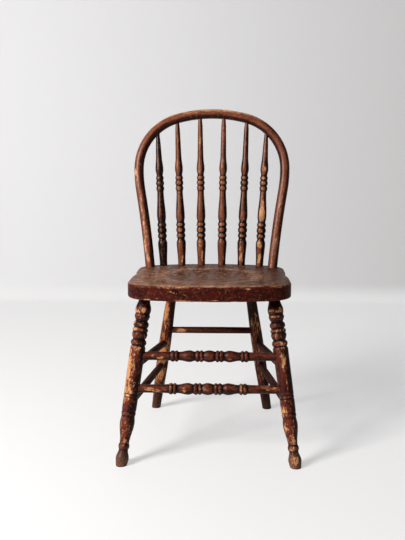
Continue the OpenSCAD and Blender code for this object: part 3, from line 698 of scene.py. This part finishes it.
def strength_at(along, around, radius, marks):
    total = np.zeros(len(along))
    for reach, degrees, length, width, strength in marks:
        off = (around - math.radians(degrees) + math.pi) % (2 * math.pi) - math.pi
        total += strength * np.exp(-((along - reach) / length) ** 2
                                   - (off * radius / width) ** 2)
    return total


def spots_on(mesh, start, direction, spots, side_hint):
    points = points_of(mesh) - start
    along = points @ direction
    outward = points - np.outer(along, direction)
    radius = np.linalg.norm(outward, axis=1) + 1e-9
    front, side = axes_for(direction)
    if side @ np.array(side_hint) < 0:
        side = -side
    around = np.arctan2(outward @ side, outward @ front)
    return strength_at(along / MM, around, radius / MM, spots)


def finish_piece(mesh, name, slot, settings, replaced):
    source = bpy.data.objects.new(name + " bare", mesh)
    scene.collection.objects.link(source)
    finished = run_tree(source, peel, {**settings, "Material": FINISHES[slot]}, name)
    piece = bpy.data.objects.new(name + "_worn", finished)
    scene.collection.objects.link(piece)
    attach(piece, "root")
    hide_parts(*replaced)
    return piece


def turned_piece(name, toward, columns, slot, settings, spots=(), side_hint=(1, 0, 0)):
    mesh, start, direction = turned_skin(name, toward, columns)
    write(mesh, "rubbed", spots_on(mesh, start, direction, spots, side_hint))
    piece = finish_piece(mesh, name, slot, settings, [name])
    print(name, "has", sum(len(p.vertices) - 2 for p in piece.data.polygons), "triangles")


# %% Spindles
PLAIN_FINISH_AND_SHADING = {"Seed": 1.0, "Flake Length": 9.0, "Flake Width": 3.0, "Cover": 0.8,
              "Flaking": 0.3, "Crest Wear": 0.2, "Wear And Light Direction": (0, -1, 0), "Rub": 0.1,
              "Coat Wear And Shading": 0.4, "Coat Cover": 0.2, "Film": 0.35, "Unevenness": 0.15}
SPINDLE_COAT = [1.8, 1.35, 1.25, 1.15, 1.55, 1.4]
SPINDLE_COVER = [1.25, 0.95, 0.92, 0.92, 1.0, 0.98]
SPINDLE_SPOTS = {
    1: [(150, 10, 14, 4, 0.3), (60, 0, 60, 20, -0.3)],
    2: [(44, 20, 9, 3, 1.0), (32, 5, 6, 3, 0.8)],
    3: [(56, 20, 6, 2.5, 0.9), (45, 10, 7, 2.5, 1.0), (33, 20, 6, 2.5, 0.9)],
    4: [(38, 25, 5, 2.5, 0.9), (47, 15, 4, 2, 0.7)],
    5: [(70, -25, 9, 3, 0.9), (62, 20, 6, 2.5, 0.9), (50, -5, 7, 3, 1.0),
        (40, -25, 7, 3, 0.9), (34, 15, 5, 3, 0.8), (155, 20, 6, 4, 0.6), (60, 60, 30, 4, -0.5)],
    6: [(86, -30, 11, 4, 1.1), (78, 0, 6, 3, 0.8), (46, -10, 9, 4, 1.1), (33, -25, 5, 4, 0.8),
        (60, 45, 30, 5, -0.6), (168, 0, 19, 9, 1.5), (200, 10, 18, 4, 0.7),
        (300, 10, 6, 4, 0.8)],
}
# The strong coat rub toward the front-left takes the coat off the middle of each spindle and keeps
# it on both sides: painted shading of the round rod, over real rubbing.
for number in range(1, 7):
    turned_piece(f"spindle_{number}", (0, 0, 1), 48, "spindle_varnish",
                 {**PLAIN_FINISH_AND_SHADING, "Seed": 3.0 * number, "Cover": SPINDLE_COVER[number - 1],
                  "Coat Cover": SPINDLE_COAT[number - 1], "Crest Wear": 0.95, "Rub": 0.52,
                  "Wear And Light Direction": (-0.25, -0.97, 0), "Coat Wear And Shading": 1.8},
                 SPINDLE_SPOTS[number])

# %% Legs
ALL_ROUND = 200
LEG_SPOTS = {
    "front_leg_left": [
        (42, 0, 12, ALL_ROUND, -1.2), (100, 0, 26, ALL_ROUND, -0.2),
        (59, 5, 6, 9, 0.9), (60, -60, 7, 6, 0.7),
        (70, -50, 5, 12, 0.6), (92, 20, 9, 20, -0.4), (95, -60, 5, 5, 0.9),
        (99, 0, 3, 5, 0.5), (110, -45, 5, 12, 0.7), (145, 0, 8, ALL_ROUND, -0.2),
        (163, 5, 16, 8, 0.45), (232, -50, 62, 15, 0.7), (190, -60, 30, 9, 0.4),
        (215, 40, 60, 14, -0.25), (306, 0, 14, ALL_ROUND, -0.35), (390, 0, 5, 30, 0.4),
        (430, 20, 12, 30, -0.2)],
    "front_leg_right": [
        (42, 0, 13, ALL_ROUND, -1.2), (100, 0, 26, ALL_ROUND, -0.2),
        (57, 35, 5, 6, 0.9), (61, -35, 3, 9, 0.9),
        (65, 20, 3, 10, 0.6), (76, -20, 4, 14, 0.5), (92, 0, 10, ALL_ROUND, -0.4),
        (112, 45, 5, 9, 0.5), (146, 20, 6, 12, 0.5), (225, -40, 70, 16, -0.35),
        (195, 8, 18, 5, 0.6), (235, 12, 30, 3, 0.4), (230, 55, 60, 8, -0.35),
        (310, -45, 12, 10, 0.9),
        (350, -45, 8, 7, 0.6), (384, 10, 10, 6, 0.6), (430, 0, 8, 8, 0.35)],
    "rear_leg_left": [
        (80, 30, 60, 9, -0.5), (100, -35, 50, 9, 0.35), (180, 40, 14, 12, -0.5),
        (265, 0, 60, 30, 0.4), (290, 45, 14, 9, -0.5), (415, 0, 40, ALL_ROUND, -0.3)],
    "rear_leg_right": [
        (60, 0, 45, ALL_ROUND, -0.55), (150, 20, 40, 10, 0.3), (250, 0, 80, 30, 0.3),
        (420, 0, 42, ALL_ROUND, -0.3)],
}
# The coat thins on the faces turned to the front-left, toward the window, which paints the lit side
# of each leg lighter.
for side, name in ((-1, "left"), (1, "right")):
    turned_piece(f"front_leg_{name}", (0, 0, -1), 88, "front_leg_paint",
                 {**PLAIN_FINISH_AND_SHADING, "Seed": 20.0 + side, "Flake Length": 11.0, "Flake Width": 4.2,
                  "Cover": 0.46, "Flaking": 0.85, "Rub": 0.0, "Crest Wear": 0.35,
                  "Coat Cover": 0.33, "Coat Wear And Shading": 0.45,
                  "Wear And Light Direction": (-0.5, -0.87, 0)},
                 LEG_SPOTS[f"front_leg_{name}"])
    turned_piece(f"rear_leg_{name}", (0, 0, -1), 80, "rear_leg_paint",
                 {**PLAIN_FINISH_AND_SHADING, "Seed": 30.0 + side, "Flake Length": 26.0, "Flake Width": 5.0,
                  "Cover": 0.3 + 0.07 * side, "Flaking": 0.85, "Rub": 0.0,
                  "Coat Cover": 0.38 + 0.08 * side,
                  "Coat Wear And Shading": 0.3, "Wear And Light Direction": (-0.5, -0.87, 0)},
                 LEG_SPOTS[f"rear_leg_{name}"])

# %% Stretchers
STRETCHER_SPOTS = {
    "front_stretcher_upper": [(58, -10, 9, 4, 1.1), (38, 20, 6, 4, 0.7), (165, -20, 5, 3, 0.8),
                              (231, -10, 5, 3, 0.7), (350, 20, 6, 3, 0.5)],
    "front_stretcher_lower": [(42, 10, 12, 5, 0.9), (60, -20, 8, 3, 0.7), (128, 0, 4, 5, 0.7),
                              (170, 15, 6, 3, 0.6), (270, 0, 7, 5, 0.7), (390, -10, 18, 5, 0.8),
                              (345, 20, 10, 3, 0.3)],
    "rear_stretcher": [(41, -10, 12, 7, 1.3)],
    "side_stretcher_right_lower": [(120, 20, 60, 5, 0.8)],
    "side_stretcher_left_lower": [(60, 0, 20, 4, 0.5)],
}
# The films thin on the faces turned up and to the front, where feet rub and where the window light
# falls: wear and painted light.
for number, level in enumerate(("upper", "lower")):
    stretcher = f"front_stretcher_{level}"
    turned_piece(stretcher, (1, 0, 0), 64, "front_stretcher_varnish",
                 {**PLAIN_FINISH_AND_SHADING, "Seed": 40.0 + number, "Flake Length": 7.0,
                  "Cover": 0.8 - 0.3 * number, "Crest Wear": 0.35, "Flaking": 0.7,
                  "Coat Cover": 0.45, "Coat Wear And Shading": 0.6, "Wear And Light Direction": (-0.2, -0.8, 0.55)},
                 STRETCHER_SPOTS[stretcher], side_hint=(0, 0, 1))
    for name in ("left", "right"):
        stretcher = f"side_stretcher_{name}_{level}"
        turned_piece(stretcher, (0, 1, 0), 48, "plain_stretcher_paint",
                     {**PLAIN_FINISH_AND_SHADING, "Seed": 50.0 + number, "Cover": 0.55, "Flaking": 0.5,
                      "Flake Length": 18.0, "Coat Cover": 0.2},
                     STRETCHER_SPOTS.get(stretcher, ()), side_hint=(0, 0, 1))
turned_piece("rear_stretcher", (1, 0, 0), 48, "plain_stretcher_paint",
             {**PLAIN_FINISH_AND_SHADING, "Seed": 60.0, "Cover": 0.65, "Flaking": 0.5, "Flake Length": 18.0,
              "Coat Cover": 0.3},
             STRETCHER_SPOTS["rear_stretcher"], side_hint=(0, 0, 1))

# %% [markdown]
# ## The bow
# The bow is one straight rod, steamed and bent round a form. Its centre line is walked
# on the CAD bow: the rod's own radius is measured across the crown, and from each point a ray
# finds the outer face, so the centre lies one radius inside it. A round section is then swept
# along the smoothed line, which keeps the bend free of corners.

# %% The bow's plane and thickness
CROWN_DROP = 13 * MM


def shell_of(name):
    shell = bmesh.new()
    shell.from_mesh(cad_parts[name].data)
    bmesh.ops.remove_doubles(shell, verts=shell.verts, dist=WELD)
    return shell


def faces_of(name):
    shell = shell_of(name)
    faces = BVHTree.FromBMesh(shell)
    shell.free()
    return faces


def hit(faces, origin, way):
    found = faces.ray_cast(Vector(origin), Vector(way))[0]
    return None if found is None else np.array(found)


bow_faces = faces_of("bow")
bow_low, bow_high = (np.array(corner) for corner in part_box("bow"))
seat_low, seat_high = (np.array(corner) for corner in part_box("seat"))
crown_front = hit(bow_faces, (0, -1, bow_high[2] - CROWN_DROP), (0, 1, 0))
crown_back = hit(bow_faces, (0, 1, bow_high[2] - CROWN_DROP), (0, -1, 0))
bow_radius = np.linalg.norm(crown_back - crown_front) / 2
crown = (crown_front + crown_back) / 2
crown[2] = bow_high[2] - bow_radius
bow_corners = corners("bow")
foot = bow_corners[(bow_corners[:, 2] < bow_low[2] + 0.1 * MM) & (bow_corners[:, 0] < 0)]
foot = (foot.min(axis=0) + foot.max(axis=0)) / 2
lean_up = (crown - foot) * (0, 1, 1)
lean_up /= np.linalg.norm(lean_up)
bow_normal = np.cross((1.0, 0, 0), lean_up)
print("bow radius", round(bow_radius / MM, 2), "mm, lean",
      round(math.degrees(math.atan2(lean_up[1], lean_up[2])), 2), "degrees")

# %% Walk the centre line
BOW_STEP = 4.0
BOW_STEPS = 260
ABOVE_SEAT = 8 * MM


def bow_line():
    line = [crown]
    heading = np.array((-1.0, 0, 0))
    for _ in range(BOW_STEPS):
        if line[-1][2] < foot[2] - BOW_STEP * MM:
            break
        guess = line[-1] + heading * BOW_STEP * MM
        outward = np.cross(heading, bow_normal)
        edge = hit(bow_faces, guess + outward * 3 * bow_radius, -outward)
        if edge is not None and guess[2] > seat_high[2] + ABOVE_SEAT:
            middle = edge - outward * bow_radius
            heading = (middle - line[-1]) / np.linalg.norm(middle - line[-1])
        else:
            middle = guess
        line.append(middle)
    half = np.array(line)
    for axis in range(3):
        half[1:-1, axis] = smoothed(half[:, axis], 4)[1:-1]
    mirrored = half[:0:-1] * (-1, 1, 1)
    return np.concatenate((mirrored, half))


bow_path = bow_line()
print("bow centre line:", len(bow_path), "points,", "crown to foot",
      round(np.linalg.norm(bow_path[0] - bow_path[len(bow_path) // 2]) / MM), "mm")

# %% Wear along the bow
# Each mark is mm along from the crown, less than 0 to the left; degrees round the rod from
# its front face towards its outer side; then length, width and strength as on turned pieces.
# Short marks are chips. The long light bands on the front and outer face and the long dark bands
# along the inner and outer sides paint the rod's highlight and shade, beside real rubbing.
BOW_WEAR_AND_SHADING = [
    (10, 52, 110, 8, 0.85), (110, 60, 70, 6, 0.75), (-130, 60, 60, 6, 0.5),
    (0, -90, 300, 12, -0.5), (-312, 50, 9, 7, 0.8), (-350, 40, 24, 4, 0.45),
    (-430, 10, 80, 6, 0.3), (-560, 20, 16, 5, 1.0), (-525, 40, 20, 4, 0.7),
    (-500, -20, 25, 3, 0.5), (-420, 100, 120, 8, -0.5), (215, 60, 25, 5, 0.7),
    (330, 50, 60, 5, 0.4), (430, -10, 80, 6, 0.4), (520, 10, 30, 8, 0.4),
    (400, 100, 120, 8, -0.4), (-260, -60, 150, 8, -0.4), (260, -60, 150, 8, -0.4)]


def bow_marks_and_shade(points):
    middles = bow_fine
    steps = np.linalg.norm(np.diff(middles, axis=0), axis=1)
    reach = np.concatenate(([0], np.cumsum(steps)))
    reach = (np.interp(0, middles[::-1, 0], reach[::-1]) - reach) / MM
    nearest = np.empty(len(points), int)
    for first in range(0, len(points), 4000):
        block = points[first:first + 4000]
        gaps = ((block[:, None, :] - middles[None, ::3]) ** 2).sum(axis=2)
        nearest[first:first + 4000] = gaps.argmin(axis=1) * 3
    heading = np.gradient(middles, axis=0)
    heading /= np.linalg.norm(heading, axis=1)[:, None]
    outward = np.cross(bow_normal, heading)
    outward *= np.sign((outward * (middles - foot * (0, 1, 1) - 0.2 * lean_up)).sum(
        axis=1))[:, None]
    away = points - middles[nearest]
    around = np.arctan2((away * outward[nearest]).sum(axis=1), away @ bow_normal)
    print("bow runs", round(reach[-1]), "to", round(reach[0]), "mm from the crown")
    return strength_at(reach[nearest], around, bow_radius / MM, BOW_WEAR_AND_SHADING)


# %% Sweep the rod
BOW_COLUMNS = 60
BOW_CELL = 1.4
cells = np.linspace(0, len(bow_path) - 1, int((len(bow_path) - 1) * BOW_STEP / BOW_CELL))
bow_fine = np.stack([np.interp(cells, range(len(bow_path)), bow_path[:, k])
                     for k in range(3)], axis=1)
bow_fine = np.stack([smoothed(bow_fine[:, k], 3) for k in range(3)], axis=1)
bow_mesh = run_tree(source_object("bow line", bow_fine), sweep,
                    {"Radius": float(bow_radius), "Columns": BOW_COLUMNS}, "bow")
cut_at(bow_mesh, float(seat_low[2]) - 0.2 * MM)
bow_points = points_of(bow_mesh)
write(bow_mesh, "hollow", np.zeros(len(bow_points)))
write(bow_mesh, "rubbed", bow_marks_and_shade(bow_points))
# The coat rub toward the front-left keeps the coat on the bow's sides and takes it off the middle:
# painted shading, as on the spindles.
finish_piece(bow_mesh, "bow", "bow_varnish",
             {**PLAIN_FINISH_AND_SHADING, "Seed": 70.0, "Flake Length": 22.0, "Flake Width": 5.0,
              "Cover": 0.85, "Coat Cover": 0.85, "Wear And Light Direction": (-0.35, -0.85, 0.4),
              "Rub": 0.38, "Flaking": 0.35, "Coat Wear And Shading": 1.25},
             ["bow"])

# %% [markdown]
# ## Wedges in the bow's feet
# Each end of the bow is split and spread by a hardwood wedge, driven from under the seat. The
# wedge was cut off a little proud, and its end grain has gone grey-brown with dirt.

# %% Wedges
WEDGE_PROUD = 0.4
for name in ("bow_wedge_left", "bow_wedge_right"):
    low, high = (np.array(corner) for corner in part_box(name))
    wedge_shell = shell_of(name)
    bottom = min(v.co.z for v in wedge_shell.verts)
    for vert in wedge_shell.verts:
        if vert.co.z < bottom + 0.05 * MM:
            vert.co.z -= WEDGE_PROUD * MM
    bmesh.ops.triangulate(wedge_shell, faces=wedge_shell.faces[:])
    bmesh.ops.subdivide_edges(wedge_shell, edges=wedge_shell.edges[:], cuts=3,
                              use_grid_fill=True)
    wedge_mesh = bpy.data.meshes.new(name)
    wedge_shell.to_mesh(wedge_mesh)
    wedge_shell.free()
    wedge_points = points_of(wedge_mesh)
    write(wedge_mesh, "hollow", np.zeros(len(wedge_points)))
    write(wedge_mesh, "place", wedge_points, "FLOAT_VECTOR")
    write(wedge_mesh, "rubbed", np.zeros(len(wedge_points)))
    finish_piece(wedge_mesh, name, "wedge_wood",
                 {**PLAIN_FINISH_AND_SHADING, "Seed": 90.0, "Cover": -0.3, "Film": 0.05, "Unevenness": 0.0},
                 [name])
    print(name, "is", [round(v, 1) for v in (high - low) / MM], "mm")

# %% [markdown]
# ## The seat
# The seat is a thick board, sawn to a shield shape, hollowed for sitting and rounded at its
# edges. Rings of points run from the middle of the hollow out over the
# edge and back under, which follows both the outline and the hollow. The CAD seat is felt
# with rays for the outline and the depth of the hollow, and smoothing takes its facets out.

# %% Seat outline
SEAT_COLUMNS = 520
SEAT_CELL = 2.4
ARRIS = 5.0
DEEPEST = 12 * MM
UNDER_INSETS = (1, 4, 9, 16, 25, 36, 50, 66, 84, 104, 126, 150, 172)
seat_faces = faces_of("seat")
seat_middle = (seat_low + seat_high) / 2
seat_turns = np.linspace(0, 2 * math.pi, SEAT_COLUMNS, endpoint=False)
seat_ways = np.stack((np.cos(seat_turns), np.sin(seat_turns)), axis=1)
seat_reach = np.array([np.linalg.norm(hit(
    seat_faces, (seat_middle[0] + way[0], seat_middle[1] + way[1], seat_middle[2]),
    (-way[0], -way[1], 0))[:2] - seat_middle[:2]) for way in seat_ways])


def wrapped(values, passes):
    for _ in range(passes):
        values = (np.roll(values, 1) + 2 * values + np.roll(values, -1)) / 4
    return values


seat_reach = wrapped(seat_reach, 6)
top_z, under_z = seat_high[2], seat_low[2]


def felt_depth(x, y):
    found = hit(seat_faces, (x, y, 1), (0, 0, -1))
    return top_z - found[2] if found is not None and top_z - found[2] < DEEPEST else 0


print("seat reaches", round(seat_reach.min() / MM), "to", round(seat_reach.max() / MM), "mm")

# %% Rings over the hollow, round the edge and under
flat_reach = seat_reach.min() - ARRIS * MM
top_rings = int(flat_reach / (SEAT_CELL * MM))
rings, ring_z, crests = [], [], []
inset = np.linspace(0, 1, top_rings)
for share in inset[1:]:
    reach = share * (seat_reach - ARRIS * MM)
    spots = seat_middle[:2] + seat_ways * reach[:, None]
    depth = np.array([felt_depth(x, y) for x, y in spots])
    rings.append(spots)
    ring_z.append(depth)
    crests.append(np.zeros(SEAT_COLUMNS))
depths = np.array(ring_z)
for _ in range(8):
    depths[1:-1] = (depths[:-2] + 2 * depths[1:-1] + depths[2:]) / 4
    depths = (np.roll(depths, 1, axis=1) + 2 * depths + np.roll(depths, -1, axis=1)) / 4
depths[-3:] = 0
ring_z = [top_z - row for row in depths]
edge_steps = [(math.sin(a) * ARRIS, (1 - math.cos(a)) * ARRIS)
              for a in np.radians(np.linspace(15, 90, 6))]
side_drop = np.linspace(ARRIS, (top_z - under_z) / MM - ARRIS, 14)[1:-1]
profile = ([(ARRIS - out, down, -1.0) for out, down in edge_steps]
           + [(0, down, 0.0) for down in side_drop]
           + [(ARRIS - out, (top_z - under_z) / MM - down, -0.8)
              for out, down in edge_steps[::-1]]
           + [(ARRIS + extra, (top_z - under_z) / MM, 0.0)
              for extra in UNDER_INSETS])
for set_in, down, crest_value in profile:
    rings.append(seat_middle[:2] + seat_ways * (seat_reach - set_in * MM)[:, None])
    ring_z.append(np.full(SEAT_COLUMNS, top_z - down * MM))
    crests.append(np.full(SEAT_COLUMNS, crest_value))
seat_verts = [(*seat_middle[:2], top_z - felt_depth(*seat_middle[:2]))]
for ring_xy, zs in zip(rings, ring_z):
    seat_verts.extend((x, y, z) for (x, y), z in zip(ring_xy, zs))
seat_verts.append((*seat_middle[:2], under_z))
seat_hollow = np.concatenate(([0], np.concatenate(crests), [0]))
columns = range(SEAT_COLUMNS)
seat_quads = [(0, 1 + k, 1 + (k + 1) % SEAT_COLUMNS) for k in columns]
for level in range(len(rings) - 1):
    first = 1 + level * SEAT_COLUMNS
    seat_quads += [(first + k, first + SEAT_COLUMNS + k,
                    first + SEAT_COLUMNS + (k + 1) % SEAT_COLUMNS,
                    first + (k + 1) % SEAT_COLUMNS) for k in columns]
first = 1 + (len(rings) - 1) * SEAT_COLUMNS
seat_quads += [(len(seat_verts) - 1, first + (k + 1) % SEAT_COLUMNS, first + k) for k in columns]
print("seat:", len(rings), "rings of", SEAT_COLUMNS)

# %% Wear on the seat
# Each nick is mm across from the middle, mm below the top, width, height and strength.
seat_mesh = bpy.data.meshes.new("seat")
seat_mesh.from_pydata([tuple(map(float, v)) for v in seat_verts], [], seat_quads)
seat_points = points_of(seat_mesh)
write(seat_mesh, "hollow", seat_hollow)
write(seat_mesh, "place", seat_points[:, (1, 2, 0)], "FLOAT_VECTOR")
SEAT_NICKS = [(-92, 13, 4, 2.2, 1.1), (-84, 16, 2, 1.5, 1.0), (-76, 18, 2, 1, 0.9),
              (-160, 10, 3, 1.5, 0.8), (112, 9, 3, 1, 0.9), (124, 22, 2.5, 1.5, 1.0),
              (138, 34, 2, 1.2, 1.2), (95, 6, 7, 1.2, 0.8), (-125, 30, 4, 1.2, 0.7),
              (20, 33, 9, 1.2, 0.7), (-60, 35, 16, 1.4, 0.8), (-20, 36, 20, 1.2, 0.7),
              (60, 36, 12, 1.2, 0.6), (-150, 34, 14, 1.4, 0.7), (170, 15, 3, 2, 0.8),
              (40, 16, 2, 1.5, 0.8), (-30, 12, 2, 1, 0.9), (75, 26, 2, 2, 0.8)]
sat_on = np.zeros(len(seat_points))
sat_on[:1 + (top_rings + 1) * SEAT_COLUMNS] = 1
seat_rubbed = np.zeros(len(seat_points))
for across, below, width, height, strength in SEAT_NICKS:
    front_part = seat_points[:, 1] < seat_middle[1]
    seat_rubbed += front_part * (1 - sat_on) * 1.6 * strength * np.exp(
        -((seat_points[:, 0] / MM - across) / width) ** 2
        - (((top_z - seat_points[:, 2]) / MM - below) / height) ** 2)
write(seat_mesh, "rubbed", seat_rubbed)
write(seat_mesh, "sat_on", sat_on)
# The top is lighter along the worn front edge. The lighter ring round the front of the hollow is a
# painted sheen, the lighter left side and darker right side are painted light and shade, and the
# back is darker.
seat_across = (seat_points[:, 0] - seat_middle[0]) / (seat_high[0] - seat_low[0]) * 2
seat_back = (seat_points[:, 1] - seat_middle[1]) / (seat_high[1] - seat_low[1]) * 2
ring_reach = np.hypot(seat_across / 0.62, (seat_back + 0.05) / 0.62)
wear_and_painted_light = (0.35 * np.exp(-((ring_reach - 1) / 0.12) ** 2) * (seat_back < 0.6)
           - 0.25 * np.clip(seat_back, 0, 1) - 0.2 * np.clip(seat_across, 0, 1)
           + 0.5 * np.exp(-((seat_back + 1) / 0.12) ** 2)
           + 0.25 * np.exp(-((seat_across + 1) / 0.35) ** 2))
write(seat_mesh, "wear_and_painted_light", wear_and_painted_light)
finish_piece(seat_mesh, "seat", "seat_varnish",
             {**PLAIN_FINISH_AND_SHADING, "Seed": 80.0, "Flake Length": 14.0, "Flake Width": 6.0,
              "Cover": 1.05, "Coat Cover": 0.0, "Crest Wear": 0.68,
              "Wear And Light Direction": (0, 0, 1), "Rub": 0.2}, ["seat"])
print("seat nicks:", len(SEAT_NICKS))
